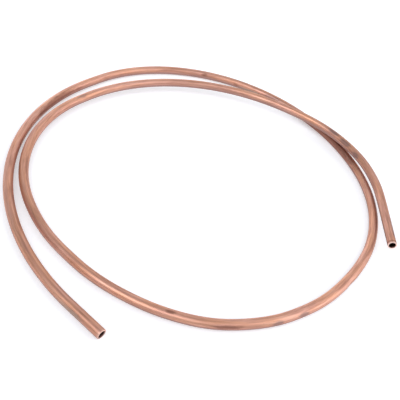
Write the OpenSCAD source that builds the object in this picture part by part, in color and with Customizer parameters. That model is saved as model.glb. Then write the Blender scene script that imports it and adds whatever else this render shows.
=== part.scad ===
// Soft copper tube, bent by hand into a loose coil of a little over one and a half turns.
// It is one length of tube: the first turn lies flat on the floor, and the upper turn climbs over it.
// The route is a chain of quarter bends and straights, each set in the frame of the one before.

/* [Tube] */
// Outside diameter
tube_d = 6; // [4:0.5:12]
// Wall thickness
tube_wall = 0.8; // [0.5:0.1:1.5]

/* [First turn, lying flat] */
// Straight length at the lower cut end
first_end = 24; // [10:1:60]
// Radius of the first bend, to the middle of the tube as in every bend here
bend_1 = 147; // [90:1:220]
// Radius of the second bend
bend_2 = 113; // [80:1:180]
// Radius of the third bend
bend_3 = 122; // [80:1:180]
// Radius of the fourth bend, which ends the first turn
bend_4 = 106; // [70:1:160]
// Straight length on the tighter of the two sides across the coil
run_across = 9.5; // [0.5:0.5:60]
// Straight length on the tighter of the two sides along the coil
run_along = 1; // [0.5:0.5:60]

/* [Upper turn, climbing over the first] */
// Clear gap to the first turn at the side of the lower end
side_gap = 15.5; // [8:0.5:40]
// Clear gap to the first turn at the far side
top_gap = 10; // [6:0.5:40]
// Clear gap to the first turn round the corner between those two, less than either
corner_gap = 1.9; // [1:0.1:5]
// Straight length at the far side
upper_run = 5; // [0.5:0.5:60]
// How far inside the first turn the upper one turns back, before it crosses over
cross_step = 9.5; // [4:0.5:40]
// Height left between the turns where the upper one has climbed over
cross_gap = 0.7; // [0.3:0.1:5]
// Radius of the last bend
last_bend = 80; // [60:0.5:150]
// Straight length at the upper cut end
last_end = 52.5; // [15:1:90]
// Small tip of the last bend out of the plane of the upper turn, in degrees
kick = 2.5; // [0.5:0.5:8]

/* [Hidden] */
side_step = tube_d + side_gap;
top_step = tube_d + top_gap;
corner_step = tube_d + corner_gap;

// The upper turn's first bend keeps the three gaps beside the first bend, to a hundredth
bend_5 = bend_1 - round(100 * (side_step + top_step - corner_step
  + sqrt(2 * (side_step - corner_step) * (top_step - corner_step)))) / 100;

// The wider side of each pair sets the coil's size, and the other side's straight takes up the rest
across = run_across + max(bend_1 + bend_2, side_step + bend_3 + bend_4);
along = run_along + max(bend_2 + bend_3, top_step + bend_4 + bend_5);
run_1 = across - bend_1 - bend_2;
run_2 = along - bend_2 - bend_3;
run_3 = across - side_step - bend_3 - bend_4;
run_4 = along - top_step - bend_4 - bend_5;
upper_w = across - side_step - cross_step;
bend_6 = upper_w - bend_5 - upper_run;

// Small tips are rounded to a cosine of six decimals, and the last bend turns by a 3-4-5 angle,
// so the lengths meet true
function true_tip(a) = acos(round(cos(a) * 1e6) / 1e6);
climb = true_tip(asin((tube_d + cross_gap) / upper_w));
last_kick = true_tip(kick);
last_turn = asin(0.8);

// Plan of the route from the lower cut end, used to centre it
turn_y = first_end + bend_1 - along;
climb_x = side_step;
climb_y = turn_y + bend_4;
last_y = climb_y + run_4 + bend_5 - bend_6 - last_bend * sin(last_turn) - last_end * cos(last_turn);
left = min(0, climb_x) - tube_d / 2;
right = max(across, climb_x + upper_w * cos(climb)) + tube_d / 2;
near = min(turn_y - tube_d / 2, last_y - sin(last_turn) * tube_d / 2);
far = max(first_end + bend_1, climb_y + run_4 + bend_5) + tube_d / 2;

module wall_ring() {
  difference() {
    circle(d = tube_d, $fn = 64);
    circle(d = tube_d - 2 * tube_wall, $fn = 64);
  }
}

// A straight length from the origin, heading along +Y
module straight(l) {
  rotate([-90, 0, 0]) linear_extrude(l) wall_ring();
}

// A quarter bend to the right from the origin, starting along +Y
module quarter(r) {
  translate([r, 0, 0])
    rotate_extrude(angle = 90, start = 90, $fn = 180) translate([r, 0]) wall_ring();
}

// A straight length and a quarter bend, with the rest of the tube carried on from them
module leg(l, r) {
  straight(l);
  translate([0, l, 0]) {
    quarter(r);
    translate([r, r, 0]) rotate([0, 0, -90]) children();
  }
}

// A bend of less than a quarter, cut square across the tube, and the straight cut end after it
module last_leg(r, a, l) {
  difference() {
    quarter(r);
    translate([r, 0, 0]) rotate([0, 0, -a]) translate([-2 * r, 0, -tube_d]) cube([2 * r, 2 * r, 2 * tube_d]);
  }
  translate([r, 0, 0]) rotate([0, 0, -a]) translate([-r, 0, 0]) straight(l);
}

// The whole length, bent bend by bend; the upper turn is tipped about the line it starts along
module copper_tube() {
  color([0.77, 0.56, 0.47])
    translate([-(left + right) / 2, -(near + far) / 2, tube_d / 2])
      leg(first_end, bend_1) leg(run_1, bend_2) leg(run_2, bend_3) leg(run_3, bend_4)
        rotate([0, -climb, 0]) leg(run_4, bend_5) leg(upper_run, bend_6)
          rotate([0, -last_kick, 0]) last_leg(last_bend, last_turn, last_end);
}

copper_tube();
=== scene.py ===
import math

import bpy
from mathutils import Matrix, Vector


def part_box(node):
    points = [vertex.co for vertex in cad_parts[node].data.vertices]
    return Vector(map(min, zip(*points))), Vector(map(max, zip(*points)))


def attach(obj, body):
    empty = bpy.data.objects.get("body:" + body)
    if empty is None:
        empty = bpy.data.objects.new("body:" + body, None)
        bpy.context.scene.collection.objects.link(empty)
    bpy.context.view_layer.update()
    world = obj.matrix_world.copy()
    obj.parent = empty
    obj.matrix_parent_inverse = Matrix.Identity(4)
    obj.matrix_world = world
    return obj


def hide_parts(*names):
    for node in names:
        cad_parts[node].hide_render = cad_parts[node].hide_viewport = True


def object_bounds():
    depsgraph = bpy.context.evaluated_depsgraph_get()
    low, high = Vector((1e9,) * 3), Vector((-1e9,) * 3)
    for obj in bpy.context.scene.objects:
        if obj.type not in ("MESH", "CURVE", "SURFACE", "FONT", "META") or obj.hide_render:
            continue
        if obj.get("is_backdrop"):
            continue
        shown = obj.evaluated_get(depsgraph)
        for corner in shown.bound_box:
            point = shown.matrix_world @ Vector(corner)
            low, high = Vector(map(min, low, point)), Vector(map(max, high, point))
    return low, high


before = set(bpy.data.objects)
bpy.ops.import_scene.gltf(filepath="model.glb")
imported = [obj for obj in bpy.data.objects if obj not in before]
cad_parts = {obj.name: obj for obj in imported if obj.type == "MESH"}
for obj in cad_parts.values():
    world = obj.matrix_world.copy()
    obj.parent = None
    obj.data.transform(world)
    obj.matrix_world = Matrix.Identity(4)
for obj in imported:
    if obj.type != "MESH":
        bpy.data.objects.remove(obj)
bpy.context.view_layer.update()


# ---- The coil of copper tube ----
# One length of soft annealed copper tube, drawn to size and bent by hand into a loose coil.
# Its first turn lies on the floor and the upper turn climbs over that one; nothing ties them.

tube_radius = 0.003
bore_radius = tube_radius - 0.0008  # the wall is 0.8 mm
quarter_turn = math.pi / 2
last_turn = math.asin(0.8)
upper_turn_width, rise = 0.2385, 0.0067
climb = math.asin(rise / upper_turn_width)
kick = math.radians(2.49)

# Each leg is tipped about the line it starts along, runs straight, and then bends to the right
legs = [  # tip, straight length, bend radius, angle turned
    (0, 0.024, 0.147, quarter_turn),
    (0, 0.0095, 0.113, quarter_turn),
    (0, 0.001, 0.122, quarter_turn),
    (0, 0.020, 0.106, quarter_turn),
    (climb, 0.01144, 0.10256, quarter_turn),
    (0, 0.005, 0.13094, quarter_turn),
    (kick, 0, 0.080, last_turn),
    (0, 0.0525, 0, 0),
]


def lay_out(legs):
    """The legs as stretches: where each starts, its length and its bend radius, 0 for a straight."""
    place = Matrix.Identity(4)
    stretches = []
    for tip, straight, radius, turn in legs:
        place = place @ Matrix.Rotation(-tip, 4, "Y")
        if straight:
            stretches.append((place, straight, 0))
            place = place @ Matrix.Translation((0, straight, 0))
        if turn:
            stretches.append((place, radius * turn, radius))
            across = (radius - radius * math.cos(turn), radius * math.sin(turn), 0)
            place = place @ Matrix.Translation(across) @ Matrix.Rotation(-turn, 4, "Z")
    return stretches


stretches = lay_out(legs)
tube_length = sum(length for _, length, _ in stretches)


def middle_at(distance):
    """The middle of the tube and the way it heads, that far from the lower cut end."""
    for place, length, radius in stretches:
        if distance <= length or place is stretches[-1][0]:
            break
        distance -= length
    if radius:
        angle = distance / radius
        point = Vector((radius - radius * math.cos(angle), radius * math.sin(angle), 0))
        heading = Vector((math.sin(angle), math.cos(angle), 0))
    else:
        point, heading = Vector((0, distance, 0)), Vector((0, 1, 0))
    return place @ point, place.to_3x3() @ heading


# A hand-bent line is never quite true: where along, half length, and how far out of line, outwards
waves = [
    (0.500, 0.035, -0.0005),
    (0.645, 0.016, 0.0008),
    (0.686, 0.014, -0.0004),
    (0.742, 0.018, 0.0006),
    (0.789, 0.014, -0.0003),
    (0.823, 0.011, 0.0003),
    (0.866, 0.018, -0.0003),
    (1.196, 0.020, 0.0010),
    (1.262, 0.018, -0.0007),
]
# Bending by hand also leaves the tube a little wider than it is high: where, half length, how much
ovals = [
    (0.680, 0.090, 0.07),
    (1.250, 0.045, 0.10),
]


def swell(bumps, distance):
    return sum(size * math.exp(-(((distance - along) / length) ** 2)) for along, length, size in bumps)


# From here on, the way round the tube is an angle: 0 faces the coil's middle, and a quarter turn is up.
# Knocks from handling: where along, half length, where round, half width, depth
dents = [
    (0.641, 0.0035, 2.8, 0.7, 0.00035),
    (0.268, 0.004, 1.2, 0.6, 0.00010),
    (1.085, 0.005, 0.9, 0.6, 0.00010),
    (0.850, 0.004, 2.6, 0.5, 0.00008),
    (0.128, 0.005, 2.8, 0.6, 0.00010),
]
# Tarnish, by its colour: where along, half length, where round, half width, strength
brown_stains = [
    (0.020, 0.018, 1.9, 0.35, 0.45),
    (0.215, 0.024, 0.4, 0.9, 1.0),
    (0.358, 0.003, 0.5, 0.5, 0.7),
    (0.386, 0.003, 0.0, 0.4, 0.7),
    (0.478, 0.034, 0.4, 1.4, 1.0),
    (0.560, 0.030, 2.2, 0.5, 0.8),
    (0.733, 0.009, 2.7, 0.35, 0.9),
    (0.764, 0.003, 1.75, 0.35, 0.9),
    (1.232, 0.012, 0.1, 0.5, 0.6),
    (1.295, 0.024, 0.7, 0.2, 0.4),
]
grey_stains = [
    (0.420, 0.010, 0.4, 0.9, 0.9),
    (0.686, 0.004, 2.7, 0.5, 0.9),
    (0.704, 0.004, 2.8, 0.5, 0.9),
    (0.994, 0.005, 1.3, 0.6, 0.7),
    (1.209, 0.005, 1.2, 0.6, 1.0),
    (1.222, 0.005, 0.9, 0.7, 1.0),
    (1.236, 0.004, 0.4, 0.6, 1.0),
    (1.311, 0.022, -0.3, 0.3, 0.8),
    (1.319, 0.018, 2.1, 0.35, 0.7),
]
green_stains = [
    (0.020, 0.009, 3.0, 0.5, 0.8),
    (0.403, 0.014, -0.4, 0.6, 0.9),
    (0.150, 0.012, 2.9, 0.4, 0.6),
    (0.905, 0.010, 3.0, 0.4, 0.6),
]


def at_marks(marks, distance, angle):
    """What each of these marks comes to there: all of it in its middle, and fading out round that."""
    for along, length, round_it, width, most in marks:
        if abs(distance - along) < 3 * length:
            sideways = math.remainder(angle - round_it, 2 * math.pi) / width
            yield most, ((distance - along) / length) ** 2 + sideways**2


def dented(distance, angle):
    return sum(deepest * math.exp(-off) for deepest, off in at_marks(dents, distance, angle))


def stained(stains, distance, angle):
    """How strongly these stains colour the tube there, from 0 to 1."""
    return max([most * math.exp(-0.7 * off) for most, off in at_marks(stains, distance, angle)], default=0)


# The tube is one closed skin: the outside, the upper end's lip, the bore and the lower end's lip
sides = 48
outside_step, bore_step = 0.00115, 0.005
lip_round, lip_bevel = 0.00028, 0.00012


def evenly(start, end, step):
    count = max(1, round(abs(end - start) / step))
    return [start + (end - start) * i / count for i in range(count + 1)]


rings = []  # distance along, radius, 1 for the bore
for swing in (0, 22, 45, 68, 90):
    back = lip_round * (1 - math.cos(math.radians(swing)))
    inward = lip_round * (1 - math.sin(math.radians(swing)))
    rings.append((back, tube_radius - inward, 0))
upper_lip = [(tube_length - distance, radius, 0) for distance, radius, _ in reversed(rings)]
rings += [(d, tube_radius, 0) for d in evenly(lip_round, tube_length - lip_round, outside_step)[1:-1]]
rings += upper_lip
mouth_depth = 0.003
mouth = [(0, bore_radius + lip_bevel, 1)]
mouth += [(d, bore_radius, 1) for d in (lip_bevel, 0.0006, 0.0015, mouth_depth)]
rings += [(tube_length - distance, radius, 1) for distance, radius, _ in mouth]
rings += [(d, bore_radius, 1) for d in evenly(tube_length - mouth_depth, mouth_depth, bore_step)[1:-1]]
rings += list(reversed(mouth))

# The saw left bright metal on the lips, less of it at the lower end. The bore is near black, partly oxide
# and partly painted shade, darkening over the first 1.2 mm in from each mouth.
# A dark ring goes round the tube a little behind the lip of the upper end.
bright_lip, dull_share = 0.0007, 0.5
dark_from = 0.0012
ring_back, ring_width = 0.0013, 0.0005

points, straightened = [], []
looks = {name: [] for name in (
    "height_on_tube", "in_the_bore", "saw_cut", "dark_ring", "brown_stain", "grey_stain", "green_stain")}
for distance, radius, inside in rings:
    centre, heading = middle_at(distance)
    side = heading.cross(Vector((0, 0, 1))).normalized()
    up = side.cross(heading)
    centre = centre - swell(waves, distance) * side
    wider = swell(ovals, distance)
    from_end = min(distance, tube_length - distance)
    at_upper_end = distance > tube_length / 2
    cut = max(0, 1 - from_end / bright_lip) * (radius > bore_radius) * (1 if at_upper_end else dull_share)
    dark = math.exp(-(((from_end - ring_back) / ring_width) ** 2)) * at_upper_end
    for i in range(sides):
        angle = 2 * math.pi * i / sides
        reach = radius if inside else radius - dented(distance, angle)
        across, upward = (1 + wider) * math.cos(angle), (1 - 0.5 * wider) * math.sin(angle)
        points.append(centre + reach * (across * side + upward * up))
        straightened.append((distance, radius * math.cos(angle), radius * math.sin(angle)))
        there = (math.sin(angle), inside * min(1, from_end / dark_from), cut, dark)
        for stains in (brown_stains, grey_stains, green_stains):
            there += (stained(stains, distance, angle),)
        for values, value in zip(looks.values(), there):
            values.append(value)

# The route starts from 0, 0, so the skin moves as a whole to the corner of the box it stands in
corner = Vector(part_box("copper_tube")[0])
shift = corner - Vector([min(point[axis] for point in points) for axis in range(3)])
faces = []
for ring in range(len(rings)):
    this, following = ring * sides, (ring + 1) % len(rings) * sides
    for i in range(sides):
        j = (i + 1) % sides
        faces.append((this + i, this + j, following + j, following + i))

skin = bpy.data.meshes.new("copper_tube_skin")
skin.from_pydata([point + shift for point in points], [], faces)
skin.polygons.foreach_set("use_smooth", [True] * len(faces))
skin.attributes.new("straightened", "FLOAT_VECTOR", "POINT").data.foreach_set(
    "vector", [number for point in straightened for number in point])
for name, values in looks.items():
    skin.attributes.new(name, "FLOAT", "POINT").data.foreach_set("value", values)
skin.update()
tube = bpy.data.objects.new("copper_tube_skin", skin)
bpy.context.scene.collection.objects.link(tube)

# Satin copper, streaked lengthwise by the drawing die, scratched, and tarnished in patches, with painted
# shade on its flanks and underside and deep in its bore
copper = bpy.data.materials.new("satin_copper")
copper.use_nodes = True
nodes, links = copper.node_tree.nodes, copper.node_tree.links
nodes.clear()


def node(kind, **settings):
    made = nodes.new(kind)
    for name, value in settings.items():
        setattr(made, name, value)
    return made


def plug(sockets, values):
    """Sets each socket to its value, or joins it to the other node's output that is given instead."""
    for socket, value in zip(sockets, values):
        if isinstance(value, bpy.types.NodeSocket):
            links.new(value, socket)
        else:
            socket.default_value = value


def attribute(name):
    return node("ShaderNodeAttribute", attribute_name=name).outputs["Fac"]


def pattern(scale, detail=3.0, roughness=0.55, shift=(0, 0, 0)):
    """Noise on the straightened tube, as so many grains a metre along it and round it."""
    along, around = scale
    mapping = node("ShaderNodeMapping")
    plug((mapping.inputs["Vector"], mapping.inputs["Location"], mapping.inputs["Scale"]),
         (lie.outputs["Vector"], shift, (along, around, around)))
    made = node("ShaderNodeTexNoise")
    plug([made.inputs[name] for name in ("Vector", "Scale", "Detail", "Roughness")],
         (mapping.outputs["Vector"], 1, detail, roughness))
    return made.outputs["Fac"]


def stretch(value, low, high, to_low=0.0, to_high=1.0):
    made = node("ShaderNodeMapRange", interpolation_type="SMOOTHSTEP")
    plug([made.inputs[name] for name in ("Value", "From Min", "From Max", "To Min", "To Max")],
         (value, low, high, to_low, to_high))
    return made.outputs["Result"]


def sums(operation, first, second):
    made = node("ShaderNodeMath", operation=operation)
    plug(made.inputs, (first, second))
    return made.outputs["Value"]


def blend(amount, share, first, second):
    """The second colour over the first, by this amount times this share."""
    made = node("ShaderNodeMix", data_type="RGBA")
    plug((made.inputs["Factor"], made.inputs[6], made.inputs[7]),
         (sums("MULTIPLY", amount, share), first, second))
    return made.outputs[2]


def spread(name, edge, ragged=0.9):
    """One of the skin's attributes, from 0 to 1, with its edge broken up by a pattern."""
    broken = sums("ADD", attribute(name), sums("MULTIPLY", sums("SUBTRACT", edge, 0.5), ragged))
    return stretch(broken, 0.25, 0.75)


pink = (0.82, 0.455, 0.355, 1)
orange = (0.85, 0.45, 0.295, 1)
bright = (0.95, 0.63, 0.51, 1)
brown = (0.46, 0.225, 0.165, 1)
rust = (0.33, 0.15, 0.11, 1)
violet = (0.33, 0.205, 0.19, 1)
green = (0.36, 0.29, 0.24, 1)
bare = (0.95, 0.70, 0.62, 1)
# Near black for the bore: partly oxide, partly painted shade
bore_oxide_and_shade = (0.030, 0.014, 0.011, 1)

lie = node("ShaderNodeAttribute", attribute_name="straightened")
warmth = pattern((40, 260))
broad = pattern((32, 420), 5, 0.62, (5, 2, 0))
drawn = stretch(pattern((60, 1100), 4, 0.6), 0.40, 0.70)
hair = pattern((90, 2600), 4, 0.6)
edge = pattern((150, 600), 4, 0.6, (1, 4, 2))
specks = pattern((420, 700), 3, 0.6, (2, 2, 2))

# Painted shade: the flanks and underside are coloured darker than the top, brown on the flanks and violet
# underneath, and the flanks are also a little rougher
shaded_flanks = sums("SUBTRACT", 1, spread("height_on_tube", broad, 0.5))
painted_shade_underside = stretch(sums("ADD", attribute("height_on_tube"), sums("MULTIPLY", broad, 0.5)), 0.55, 0.0)
inside_bore = attribute("in_the_bore")

colour = blend(stretch(warmth, 0.35, 0.65), 1, pink, orange)
for amount, share, tone in (
    (stretch(broad, 0.52, 0.70), 0.45, bright),
    (stretch(broad, 0.50, 0.34), 0.62, brown),
    (drawn, 0.32, brown),
    (stretch(hair, 0.45, 0.62), 0.30, brown),
    (stretch(specks, 0.68, 0.76), 0.35, rust),
    # Painted shade on the flanks and underside
    (shaded_flanks, 0.30, brown),
    (painted_shade_underside, 0.75, violet),
    (spread("brown_stain", edge), 0.82, rust),
    (spread("grey_stain", edge), 0.75, violet),
    (spread("green_stain", edge), 0.70, green),
    (attribute("dark_ring"), 0.8, rust),
    (attribute("saw_cut"), 0.9, bare),
    # The bore, partly oxide and partly painted shade
    (inside_bore, 1, bore_oxide_and_shade),
):
    colour = blend(amount, share, colour, tone)

bump = node("ShaderNodeBump")
bump.inputs["Strength"].default_value = 0.35
bump.inputs["Distance"].default_value = 0.00006
links.new(sums("ADD", pattern((30, 1100)), sums("MULTIPLY", hair, 0.5)), bump.inputs["Height"])
dull = sums("ADD", sums("MULTIPLY", shaded_flanks, 0.08), sums("MULTIPLY", inside_bore, 0.3))
surface = node("ShaderNodeBsdfPrincipled")
surface.inputs["Metallic"].default_value = 1
links.new(colour, surface.inputs["Base Color"])
links.new(sums("ADD", stretch(drawn, 0, 1, 0.44, 0.54), dull), surface.inputs["Roughness"])
links.new(bump.outputs["Normal"], surface.inputs["Normal"])
output = node("ShaderNodeOutputMaterial")
links.new(surface.outputs["BSDF"], output.inputs["Surface"])
skin.materials.append(copper)

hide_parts("copper_tube")
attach(tube, "root")


# ---- The floor ----
# A plain pale sheet that the coil lies on, not part of the object. It is matt and seamless, and
# light comes up through it a little, so that it stays white and the shadows stay faint.

floor_reach = 6
corners = [(x * floor_reach, y * floor_reach, 0) for x, y in ((-1, -1), (1, -1), (1, 1), (-1, 1))]
floor_mesh = bpy.data.meshes.new("floor")
floor_mesh.from_pydata(corners, [], [(0, 1, 2, 3)])
floor = bpy.data.objects.new("floor", floor_mesh)
bpy.context.scene.collection.objects.link(floor)
paper = bpy.data.materials.new("pale_paper")
paper.use_nodes = True
sheet = paper.node_tree.nodes["Principled BSDF"]
sheet.inputs["Base Color"].default_value = (0.82, 0.845, 0.88, 1)
sheet.inputs["Emission Color"].default_value = (0.97, 0.98, 1, 1)
sheet.inputs["Emission Strength"].default_value = 0.40
sheet.inputs["Roughness"].default_value = 0.9
sheet.inputs["Specular IOR Level"].default_value = 0.1
floor_mesh.materials.append(paper)
floor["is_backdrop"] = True


# ---- The light ----
# A white tent round the coil, with broad soft patches of light shining through it.
# The widest and brightest is high on the left, and lower ones stand behind and to the right.

world = bpy.data.worlds.new("tent")
bpy.context.scene.world = world
world.use_nodes = True
nodes, links = world.node_tree.nodes, world.node_tree.links
cloth = nodes["Background"]
cloth.inputs["Color"].default_value = (0.98, 0.98, 1, 1)
whereabouts = node("ShaderNodeTexCoord").outputs["Generated"]
patches = [  # how high, which way round from +X, how bright
    (48, 180, 3.2),
    (48, 220, 0.7),
    (28, 315, 1.3),
    (28, 285, 0.7),
    (8, 60, 1.4),
    (8, 300, 0.7),
    (48, 0, 1.1),
    (48, 288, 0.9),
    (28, 45, 0.7),
    (28, 100, 0.5),
]
tent_glow, patch_sharpness = 0.10, 14
brightness = tent_glow
for high, way, power in patches:
    high, way = math.radians(high), math.radians(way)
    level, height = math.cos(high), math.sin(high)
    towards = node("ShaderNodeVectorMath", operation="DOT_PRODUCT")
    plug(towards.inputs, (whereabouts, (level * math.cos(way), level * math.sin(way), height)))
    glow = node("ShaderNodeMath", operation="EXPONENT")
    falls_off = sums("MULTIPLY", sums("SUBTRACT", towards.outputs["Value"], 1), patch_sharpness)
    links.new(falls_off, glow.inputs[0])
    brightness = sums("ADD", sums("MULTIPLY", glow.outputs["Value"], power), brightness)
links.new(brightness, cloth.inputs["Strength"])

bpy.context.scene.view_settings.view_transform = "Standard"
bpy.context.scene.view_settings.look = "None"


# ---- The camera ----
# It looks down on the coil from beside the lower cut end.

lens = bpy.data.cameras.new("camera")
lens.lens = 58.13
lens.sensor_width = 36
camera = bpy.data.objects.new("camera", lens)
camera.location = (-0.29325, -0.16485, 0.26865)
camera.rotation_euler = [math.radians(angle) for angle in (48.471, -13.855, -49.577)]
bpy.context.scene.collection.objects.link(camera)
bpy.context.scene.camera = camera

low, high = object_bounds()
